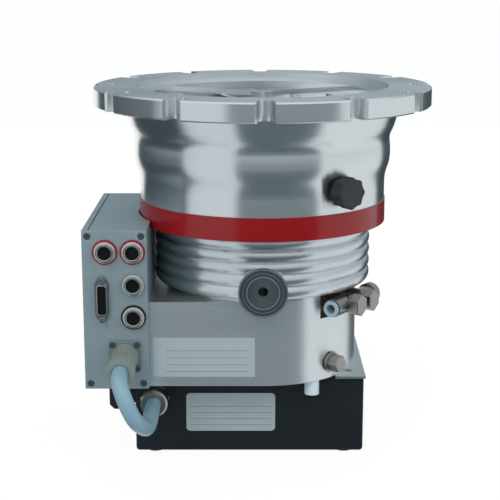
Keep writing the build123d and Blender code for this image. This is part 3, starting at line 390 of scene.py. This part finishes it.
# %% Broken edges
broken_edges, enter, leave = new_group(
    "broken_edges", (("Height", "Float", 0.5), ("Depth", "Float", 0.00001), ("Radius", "Float", 0.0004)),
    (("Normal", "Vector"),))
tree = broken_edges
edge = add_node(tree, "ShaderNodeBevel", samples=4)
tree.links.new(enter.outputs["Radius"], edge.inputs["Radius"])
relief = add_node(tree, "ShaderNodeBump")
relief.inputs["Strength"].default_value = 1.0
tree.links.new(enter.outputs["Height"], relief.inputs["Height"])
tree.links.new(enter.outputs["Depth"], relief.inputs["Distance"])
tree.links.new(edge.outputs[0], relief.inputs["Normal"])
tree.links.new(relief.outputs[0], leave.inputs["Normal"])
print("group:", broken_edges.name)

# %% [markdown]
# ## Finishes
# One function builds every finish: a Principled BSDF fed by a pattern group and by the broken edge. A
# Mapping node turns the rings onto another axis, so the same group serves the front port. Turned metal also
# has anisotropy, because its rings smear a reflection along the axis: that draws the tall stripes. The
# housing is turned above and brushed below, so a second function blends the streaks in under the block's
# top.

# %% Finish builder
def colour(red, green, blue):
    """An sRGB colour, 0 to 255, in the linear values that shaders take."""
    def linear(value):
        value /= 255.0
        return value / 12.92 if value <= 0.04045 else ((value + 0.055) / 1.055) ** 2.4
    return (linear(red), linear(green), linear(blue), 1.0)


def finish(name, light, dark, roughness, pattern=even_grain, density=900.0, spread=0.08, depth=0.00001,
           edge=0.0004, metallic=0.0, anisotropy=0.0, axis=None, centre=(0, 0, 0), coat=0.0, coat_ior=1.5,
           specular=0.5):
    """A material from one pattern group. axis is the lathe's axis of a turned part, through centre."""
    made = bpy.data.materials.new(name)
    made.use_nodes = True
    tree = made.node_tree
    tree.nodes.clear()
    place = add_node(tree, "ShaderNodeTexCoord").outputs["Object"]
    if axis in ("X", "Y") or any(centre):
        mapping = add_node(tree, "ShaderNodeMapping", vector_type="TEXTURE")
        mapping.inputs["Location"].default_value = centre
        turns = {"X": (0, math.pi / 2, 0), "Y": (math.pi / 2, 0, 0)}
        mapping.inputs["Rotation"].default_value = turns.get(axis, (0, 0, 0))
        tree.links.new(place, mapping.inputs["Vector"])
        place = mapping.outputs[0]
    texture = add_node(tree, "ShaderNodeGroup")
    texture.node_tree = pattern
    tree.links.new(place, texture.inputs["Vector"])
    texture.inputs["Light"].default_value = light
    texture.inputs["Dark"].default_value = dark
    texture.inputs[3].default_value = density
    texture.inputs["Roughness"].default_value = roughness
    texture.inputs["Spread"].default_value = spread
    shader = add_node(tree, "ShaderNodeBsdfPrincipled")
    shader.inputs["Metallic"].default_value = metallic
    shader.inputs["Coat Weight"].default_value = coat
    shader.inputs["Coat Roughness"].default_value = 0.06
    shader.inputs["Coat IOR"].default_value = coat_ior
    shader.inputs["Specular IOR Level"].default_value = specular
    tree.links.new(texture.outputs["Color"], shader.inputs["Base Color"])
    tree.links.new(texture.outputs["Roughness"], shader.inputs["Roughness"])
    if anisotropy:
        shader.inputs["Anisotropic"].default_value = anisotropy
        shader.inputs["Anisotropic Rotation"].default_value = 0.25
        smear = add_node(tree, "ShaderNodeTangent", direction_type="RADIAL", axis=axis or "Z")
        tree.links.new(smear.outputs[0], shader.inputs["Tangent"])
    relief = add_node(tree, "ShaderNodeGroup")
    relief.node_tree = broken_edges
    relief.inputs["Depth"].default_value = depth
    relief.inputs["Radius"].default_value = edge
    tree.links.new(texture.outputs["Height"], relief.inputs["Height"])
    tree.links.new(relief.outputs["Normal"], shader.inputs["Normal"])
    tree.links.new(shader.outputs[0], add_node(tree, "ShaderNodeOutputMaterial").inputs["Surface"])
    return made


def dress(material, *names):
    """Gives CAD nodes a finish."""
    for name in names:
        for slot in NODES[name].material_slots:
            slot.material = material


# %% Metal finishes
PORT_HEIGHT = -0.1565
BLOCK_TOP = -0.1693

bright_turned = finish("bright_turned", (0.86, 0.87, 0.87, 1), (0.80, 0.82, 0.83, 1), 0.25, turned_rings,
                       700.0, 0.03, 0.0000008, 0.0005, 1.0, 0.90, "Z")
dress(bright_turned, "casing", "spacer_rings", "bottom_cover")
neck_turned = finish("neck_turned", (0.80, 0.82, 0.83, 1), (0.70, 0.73, 0.74, 1), 0.29, turned_rings,
                     520.0, 0.04, 0.0000012, 0.0006, 1.0, 0.75, "Z")
dress(neck_turned, "lower_housing")


def brush_below(material, height, light, dark, density, roughness, metallic):
    """Changes a turned finish to horizontal brushing below a height, as on the housing's milled block."""
    tree = material.node_tree
    shader = next(n for n in tree.nodes if n.type == "BSDF_PRINCIPLED")
    rings = next(n for n in tree.nodes if n.type == "GROUP" and n.node_tree == turned_rings)
    relief = next(n for n in tree.nodes if n.type == "GROUP" and n.node_tree == broken_edges)
    place = next(n for n in tree.nodes if n.type == "TEX_COORD").outputs["Object"]
    brushed = add_node(tree, "ShaderNodeGroup")
    brushed.node_tree = brushed_streaks
    tree.links.new(place, brushed.inputs["Vector"])
    brushed.inputs["Light"].default_value = light
    brushed.inputs["Dark"].default_value = dark
    brushed.inputs[3].default_value = density
    brushed.inputs["Roughness"].default_value = roughness
    parts = add_node(tree, "ShaderNodeSeparateXYZ")
    tree.links.new(place, parts.inputs[0])
    low = maths(tree, "LESS_THAN", parts.outputs["Z"], height)
    tree.links.new(mix_colours(tree, low, rings.outputs["Color"], brushed.outputs["Color"]),
                   shader.inputs["Base Color"])
    for title, end in (("Roughness", shader.inputs["Roughness"]), ("Height", relief.inputs["Height"])):
        change = maths(tree, "SUBTRACT", brushed.outputs[title], rings.outputs[title])
        step = maths(tree, "MULTIPLY", low, change)
        tree.links.new(maths(tree, "ADD", rings.outputs[title], step), end)
    tree.links.new(maths(tree, "MULTIPLY_ADD", low, metallic - 1.0, 1.0), shader.inputs["Metallic"])


brush_below(neck_turned, BLOCK_TOP, (0.90, 0.92, 0.92, 1), (0.70, 0.73, 0.74, 1), 900.0, 0.31, 0.90)
port_turned = finish("port_turned", (0.34, 0.37, 0.39, 1), (0.08, 0.09, 0.10, 1), 0.34, turned_rings,
                     2600.0, 0.12, 0.00001, 0.0005, 1.0, 0.5, "Y", (0, 0, PORT_HEIGHT))
dress(port_turned, "forevacuum_port")
baffle_turned = finish("baffle_turned", (0.50, 0.53, 0.55, 1), (0.16, 0.17, 0.18, 1), 0.34, turned_rings,
                       2200.0, 0.10, 0.00001, 0.0004, 1.0, 0.5, "Y", (0, 0, PORT_HEIGHT))
dress(baffle_turned, "port_baffle")
milled = finish("milled_aluminium", (0.92, 0.94, 0.94, 1), (0.84, 0.86, 0.87, 1), 0.22, even_grain,
                900.0, 0.10, 0.000004, 0.0002, 1.0)
dress(milled, "turbine_rotor", "stator_discs", "bearing_star", "holweck_stators", "bearing_holder")
nickel = finish("satin_nickel", (0.46, 0.43, 0.41, 1), (0.34, 0.32, 0.305, 1), 0.32, even_grain,
                700.0, 0.12, 0.00001, 0.0004, 1.0)
dress(nickel, "water_elbow_front", "water_elbow_rear", "water_bolts", "sealing_gas_plug")
gland_nickel = finish("gland_nickel", (0.52, 0.49, 0.45, 1), (0.38, 0.35, 0.32, 1), 0.22, even_grain,
                      700.0, 0.10, 0.000006, 0.0005, 1.0)
dress(gland_nickel, "cable_gland")
pocket_brass = finish("pocket_brass", (0.30, 0.24, 0.15, 1), (0.20, 0.16, 0.10, 1), 0.42, even_grain,
                      700.0, 0.10, 0.00001, 0.0003, 1.0)
dress(pocket_brass, "water_block")
receptacle_metal = finish("receptacle_metal", (0.56, 0.59, 0.60, 1), (0.46, 0.48, 0.48, 1), 0.42, even_grain,
                          700.0, 0.12, 0.00001, 0.0006, 1.0)
dress(receptacle_metal, "power_receptacle")
screw_steel = finish("screw_steel", (0.23, 0.27, 0.31, 1), (0.15, 0.18, 0.21, 1), 0.38, even_grain,
                     900.0, 0.12, 0.00001, 0.0003, 1.0)
dress(screw_steel, "controller_screws", "socket_screws", "bracket_screws")
bearing_steel = finish("bearing_steel", (0.50, 0.51, 0.52, 1), (0.42, 0.43, 0.44, 1), 0.20, turned_rings,
                       900.0, 0.06, 0.000004, 0.0002, 1.0, 0.3, "Z")
dress(bearing_steel, "rotor_shaft", "safety_bearing", "bearing_inner_ring", "bearing_outer_ring",
      "bearing_balls", "magnet_rotor_rings", "magnet_stator_rings", "motor_magnet", "motor_laminations")
cage_brass = finish("cage_brass", (0.62, 0.48, 0.24, 1), (0.50, 0.38, 0.18, 1), 0.3, even_grain,
                    900.0, 0.1, 0.00001, 0.0002, 1.0)
dress(cage_brass, "ball_cage")
winding_copper = finish("winding_copper", (0.48, 0.20, 0.09, 1), (0.32, 0.12, 0.05, 1), 0.35, turned_rings,
                        1500.0, 0.1, 0.0001, 0.0004, 0.6, 0.0, "Z")
dress(winding_copper, "motor_windings")
sheet_bright = finish("sheet_bright", (0.78, 0.79, 0.80, 1), (0.68, 0.69, 0.70, 1), 0.34, even_grain,
                      500.0, 0.10, 0.000006, 0.0006, 1.0)
dress(sheet_bright, "supply_bracket")
print("metal finishes:", len([m for m in bpy.data.materials if m.use_nodes]))

# %% Painted, anodised and moulded finishes
band_red = finish("band_red", colour(150, 4, 12), colour(130, 3, 9), 0.26, even_grain,
                  600.0, 0.04, 0.000002, 0.0004, coat=0.4, coat_ior=1.5, specular=0.35)
dress(band_red, "trim_band")
code_red = finish("code_red", colour(158, 30, 42), colour(134, 22, 34), 0.45, even_grain, 900.0, 0.05)
dress(code_red, "red_code_rings")
anodised = finish("anodised_grey", colour(144, 160, 166), colour(132, 148, 154), 0.48, even_grain,
                  1500.0, 0.06, 0.00002, 0.0006, 0.25)
dress(anodised, "controller_housing", "controller_front_plate", "controller_rear_plate")
plug_plastic = finish("plug_plastic", colour(138, 147, 142), colour(122, 131, 127), 0.46, even_grain,
                      1200.0, 0.08, 0.00002, 0.0005)
dress(plug_plastic, "plug_body", "plug_coupling_ring")
post_plastic = finish("post_plastic", colour(214, 226, 231), colour(198, 212, 219), 0.40, even_grain,
                      1200.0, 0.06, 0.00001, 0.0012)
dress(post_plastic, "base_post")
jacket = finish("cable_jacket", colour(138, 170, 184), colour(126, 158, 172), 0.38, even_grain,
                700.0, 0.06, 0.00001, 0.0002)
cable.data.materials.append(jacket)
collet_plastic = finish("collet_plastic", colour(168, 186, 200), colour(150, 170, 186), 0.40, even_grain,
                        1200.0, 0.06, 0.00001, 0.0004)
dress(collet_plastic, "release_collet_front", "release_collet_rear")
black_moulded = finish("black_moulded", colour(34, 36, 38), colour(24, 26, 28), 0.50, even_grain,
                       1500.0, 0.10, 0.00003, 0.0005)
dress(black_moulded, "mains_connector", "black_code_ring")
black_insert = finish("black_insert", colour(20, 21, 22), colour(12, 13, 14), 0.34, even_grain,
                      1500.0, 0.10, 0.00001, 0.0003, specular=0.25)
dress(black_insert, "dsub_insert")
knob_plastic = finish("knob_plastic", colour(46, 50, 53), colour(36, 39, 42), 0.50, even_grain,
                      1500.0, 0.10, 0.00003, 0.0004)
dress(knob_plastic, "vent_knob")
powder_coat = finish("powder_coat", colour(26, 32, 38), colour(18, 23, 28), 0.42, even_grain,
                     1800.0, 0.06, 0.00004, 0.0010)
dress(powder_coat, "power_supply_case")
black_rubber = finish("black_rubber", colour(26, 27, 28), colour(18, 19, 20), 0.75, even_grain,
                      1200.0, 0.05, 0.00004, 0.0006)
dress(black_rubber, "power_supply_feet", "o_rings", "vent_seal")
carbon_tube = finish("carbon_tube", colour(36, 38, 40), colour(20, 21, 23), 0.35, turned_rings,
                     1200.0, 0.08, 0.00002, 0.0002, coat=0.5)
dress(carbon_tube, "holweck_sleeve")
board_green = finish("board_green", colour(30, 92, 60), colour(22, 74, 48), 0.4, even_grain, 900.0, 0.05)
dress(board_green, "drive_board")
felt = finish("felt", colour(214, 206, 184), colour(190, 182, 160), 0.95, even_grain, 2500.0, 0.02, 0.0002)
dress(felt, "lubricant_reservoir")
print("finishes:", len(bpy.data.materials))

# %% [markdown]
# ## Plates
# Two bright foil plates sit on the front: a square one on the pump's base and one with round corners on the
# supply. Each is a thin sheet with a faint ruled table, left bare. A plate is a grid face whose corners are
# bevelled in plan and which is then given its thickness, so its edge catches light.

# %% Foil plates
RULE_HALF = 0.00022
RULE_STRENGTH = 0.75
FOIL_THICK = 0.00025


def ruled_foil(name, rows, x_from, x_to):
    """Bright foil with thin ruled lines at these heights, from one place along X to another."""
    made = finish(name, colour(196, 206, 209), colour(182, 194, 198), 0.42, even_grain, 600.0, 0.08, 0.000006,
                  0.0002, 0.35)
    tree = made.node_tree
    shader = next(n for n in tree.nodes if n.type == "BSDF_PRINCIPLED")
    place = next(n for n in tree.nodes if n.type == "TEX_COORD").outputs["Object"]
    parts = add_node(tree, "ShaderNodeSeparateXYZ")
    tree.links.new(place, parts.inputs[0])
    lines = None
    for height in rows:
        near = maths(tree, "COMPARE", parts.outputs["Z"], height, RULE_HALF)
        lines = near if lines is None else maths(tree, "MAXIMUM", lines, near)
    inside = maths(tree, "MULTIPLY", maths(tree, "GREATER_THAN", parts.outputs["X"], x_from),
                   maths(tree, "LESS_THAN", parts.outputs["X"], x_to))
    mask = maths(tree, "MULTIPLY", maths(tree, "MULTIPLY", lines, inside), RULE_STRENGTH)
    base = next(n for n in tree.nodes if n.type == "GROUP" and n.node_tree == even_grain).outputs["Color"]
    ink = add_node(tree, "ShaderNodeRGB")
    ink.outputs[0].default_value = colour(96, 106, 112)
    tree.links.new(mix_colours(tree, mask, base, ink.outputs[0]), shader.inputs["Base Color"])
    return made


def foil_plate(name, x0, x1, z0, z1, y, corner, material):
    """A thin plate on a face that looks to the front, standing proud of it by its own thickness."""
    bm = bmesh.new()
    shape = Matrix.Translation(((x0 + x1) / 2, y, (z0 + z1) / 2)) @ Matrix.Rotation(math.pi / 2, 4, "X")
    shape = shape @ Matrix.Diagonal(((x1 - x0) / 2, (z1 - z0) / 2, 1, 1))
    bmesh.ops.create_grid(bm, x_segments=1, y_segments=1, size=1.0, matrix=shape)
    bmesh.ops.bevel(bm, geom=list(bm.verts), offset=corner, segments=6, profile=0.5, affect="VERTICES",
                    material=-1)
    sheet = bmesh.ops.extrude_face_region(bm, geom=list(bm.faces))
    front = [part for part in sheet["geom"] if isinstance(part, bmesh.types.BMVert)]
    bmesh.ops.translate(bm, vec=(0, -FOIL_THICK, 0), verts=front)
    bmesh.ops.recalc_face_normals(bm, faces=bm.faces)
    made = as_object(bm, name)
    made.data.materials.append(material)
    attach(made, "pump")


BASE_FRONT = -0.0815
SUPPLY_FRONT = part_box("power_supply_case")[0][1]
base_foil = ruled_foil("base_foil", (-0.2105, -0.2165, -0.2225, -0.2285), -0.080, -0.012)
foil_plate("base_plate", -0.0905, -0.0065, -0.2330, -0.1995, BASE_FRONT, 0.0004, base_foil)
supply_foil = ruled_foil("supply_foil", (-0.2700, -0.2755, -0.2810, -0.2865), -0.062, 0.008)
foil_plate("supply_plate", -0.0650, 0.0110, -0.2920, -0.2580, SUPPLY_FRONT, 0.0035, supply_foil)
print("plates on", BASE_FRONT, "and", SUPPLY_FRONT)

# %% [markdown]
# ## Sockets on the controller
# A round M12 socket is a turned nickel shell with a stepped nose and a dark insert with four contacts. The
# 15-way socket has a stamped flange that narrows towards its two jack screws and a drawn shell that stands
# off it. Both replace the plainer solids, on the same places and axes. Round forms are spun from half
# outlines.

# %% Socket shells
FACE_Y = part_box("controller_front_plate")[0][1]


def spun(bm, profile, centre, steps=48):
    """Adds a surface spun about an axis along Y from (radius, distance to the front) points."""
    line = [bm.verts.new((centre[0] + radius, centre[1] - out, centre[2])) for radius, out in profile]
    edges = [bm.edges.new(pair) for pair in zip(line, line[1:])]
    bmesh.ops.spin(bm, geom=line + edges, cent=centre, axis=(0, 1, 0), angle=2 * math.pi, steps=steps,
                   use_merge=True)


def rounded_outline(width, height, radius, steps=6):
    """Corner points of a rounded rectangle about 0, 0."""
    points = []
    for turn_at, (sx, sz) in enumerate(((1, 1), (-1, 1), (-1, -1), (1, -1))):
        for step in range(steps + 1):
            angle = math.pi / 2 * (turn_at + step / steps)
            points.append((sx * (width / 2 - radius) + radius * math.cos(angle),
                           sz * (height / 2 - radius) + radius * math.sin(angle)))
    return points


def skin(bm, outlines, centre, cap_last=True):
    """Joins a list of (points, distance to the front) outlines into one wall, and caps the last."""
    loops = [[bm.verts.new((centre[0] + x, centre[1] - out, centre[2] + z)) for x, z in points]
             for points, out in outlines]
    for low, high in zip(loops, loops[1:]):
        for index in range(len(low)):
            after = (index + 1) % len(low)
            bm.faces.new((low[index], low[after], high[after], high[index]))
    if cap_last:
        bm.faces.new(loops[-1])


def to_piece(bm, name, material, replaces, sharp=40.0):
    """Finishes a bmesh as a smooth piece on the pump, with its sharp edges kept."""
    bmesh.ops.remove_doubles(bm, verts=bm.verts, dist=0.000001)
    bmesh.ops.recalc_face_normals(bm, faces=bm.faces)
    for face in bm.faces:
        face.smooth = True
    for edge in bm.edges:
        edge.smooth = len(edge.link_faces) == 2 and edge.calc_face_angle(0.0) < math.radians(sharp)
    made = as_object(bm, name)
    made.data.materials.append(material)
    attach(made, "pump")
    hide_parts(replaces)


# Half outlines are (radius, distance in front of the plate), here from a shell's flange round to its bore.
SHELL = (
    (0.0088, 0.001), (0.0088, 0.0026), (0.0084, 0.003), (0.0077, 0.0032),
    (0.00755, 0.0036), (0.00755, 0.0042), (0.0072, 0.0044), (0.0072, 0.0056),
    (0.0069, 0.006), (0.0059, 0.006), (0.0055, 0.0056), (0.0054, 0.002),
)
INSERT = ((0.0, 0.0034), (0.0042, 0.0034), (0.0046, 0.0030), (0.0055, 0.0030))
CONTACT = ((0.0, 0.0037), (0.0006, 0.0037), (0.0008, 0.0034))
CONTACT_CIRCLE = 0.0026
CONTACTS = 4
SOCKET_PLACES = ((-0.1270, -0.1255), (-0.1048, -0.1255), (-0.1048, -0.1525), (-0.1048, -0.1795))
shells = bmesh.new()
for x, z in SOCKET_PLACES:
    spun(shells, SHELL, (x, FACE_Y, z))
shell_nickel = finish("shell_nickel", (0.74, 0.71, 0.68, 1), (0.58, 0.55, 0.52, 1), 0.22, even_grain,
                      700.0, 0.10, 0.000004, 0.0003, 1.0)
to_piece(shells, "socket_shell_set", shell_nickel, "socket_shells")
inserts = bmesh.new()
for x, z in SOCKET_PLACES:
    spun(inserts, INSERT, (x, FACE_Y, z))
    for index in range(CONTACTS):
        angle = 2 * math.pi * (index + 0.5) / CONTACTS
        place = (x + CONTACT_CIRCLE * math.cos(angle), FACE_Y, z + CONTACT_CIRCLE * math.sin(angle))
        spun(inserts, CONTACT, place, 12)
to_piece(inserts, "socket_insert_set", black_insert, "socket_inserts")
print("sockets:", len(SOCKET_PLACES))

# %% D-sub socket
DSUB = (-0.1298, FACE_Y, -0.1642)
JACK_SPACING = 0.0333
JACK_SCREW = (
    (0.0026, 0.0010), (0.0026, 0.0056), (0.0022, 0.0060), (0.0012, 0.0060), (0.0012, 0.0030), (0.0, 0.0030),
)
QUARTER = ((0.0062, 0.0126), (0.0036, 0.0176), (0.0026, 0.0189), (0.0012, 0.0194))      # of the flange
flange = [(-x, -z) for x, z in QUARTER] + [(x, -z) for x, z in reversed(QUARTER)]
flange += [(x, z) for x, z in QUARTER] + [(-x, z) for x, z in reversed(QUARTER)]
dsub = bmesh.new()
inner = [(x * 0.94, z * 0.985) for x, z in flange]
skin(dsub, ((flange, 0.0), (flange, 0.0007), (inner, 0.0010)), DSUB)
outer, hollow = rounded_outline(0.0084, 0.0250, 0.0025), rounded_outline(0.0070, 0.0236, 0.0019)
skin(dsub, ((outer, 0.0010), (outer, 0.0052), (hollow, 0.0055), (hollow, 0.0040)), DSUB, cap_last=False)
for side in (-1, 1):
    spun(dsub, JACK_SCREW, (DSUB[0], DSUB[1], DSUB[2] + side * JACK_SPACING / 2), 6)
dsub_bright = finish("dsub_bright", (0.50, 0.52, 0.53, 1), (0.38, 0.40, 0.41, 1), 0.30, even_grain,
                     700.0, 0.10, 0.000004, 0.0003, 1.0)
to_piece(dsub, "dsub_stamped_shell", dsub_bright, "dsub_shell", 30.0)
print("d-sub at", DSUB)

# %% [markdown]
# ## Turned rings on the port
# The lathe leaves crisp lips on the port: one round the bore, one at the rim and a line between them. Each
# is a low ring with a rounded section, spun so that it catches the light, and given a brighter metal than the
# port's: a painted highlight that draws it as a bright line.

# %% Port rings
PORT_FACE = (0, -0.102, PORT_HEIGHT)


def thin_ring(name, radius, width, height, centre, material, steps=96):
    """A ring about centre, round an axis along Y, with a low rounded section of this width and height."""
    bm = bmesh.new()
    section = ((-1, 0), (-0.7, 0.7), (0, 1), (0.7, 0.7), (1, 0))
    spun(bm, [(radius + across * width / 2, out * height) for across, out in section], centre, steps)
    bmesh.ops.recalc_face_normals(bm, faces=bm.faces)
    for face in bm.faces:
        face.smooth = True
    made = as_object(bm, name)
    made.data.materials.append(material)
    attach(made, "pump")


# Painted highlight: the lips get a brighter metal than the port they are turned from, so they show as bright
# lines.
port_lip_painted_highlight = finish("port_lip_painted_highlight", (0.62, 0.66, 0.68, 1), (0.52, 0.56, 0.58, 1), 0.30, even_grain,
                     900.0, 0.05, 0.000002, 0.0001, 1.0)
RING_HEIGHT = 0.00012
PORT_RINGS = (
    ("port_bore_lip", 0.0132, 0.0005), ("port_rim_lip", 0.0193, 0.0004), ("port_face_line", 0.0163, 0.00025),
)
for name, radius, width in PORT_RINGS:
    thin_ring(name, radius, width, RING_HEIGHT, PORT_FACE, port_lip_painted_highlight)
print("port rings:", len(PORT_RINGS))

# %% Finish
bpy.context.view_layer.update()
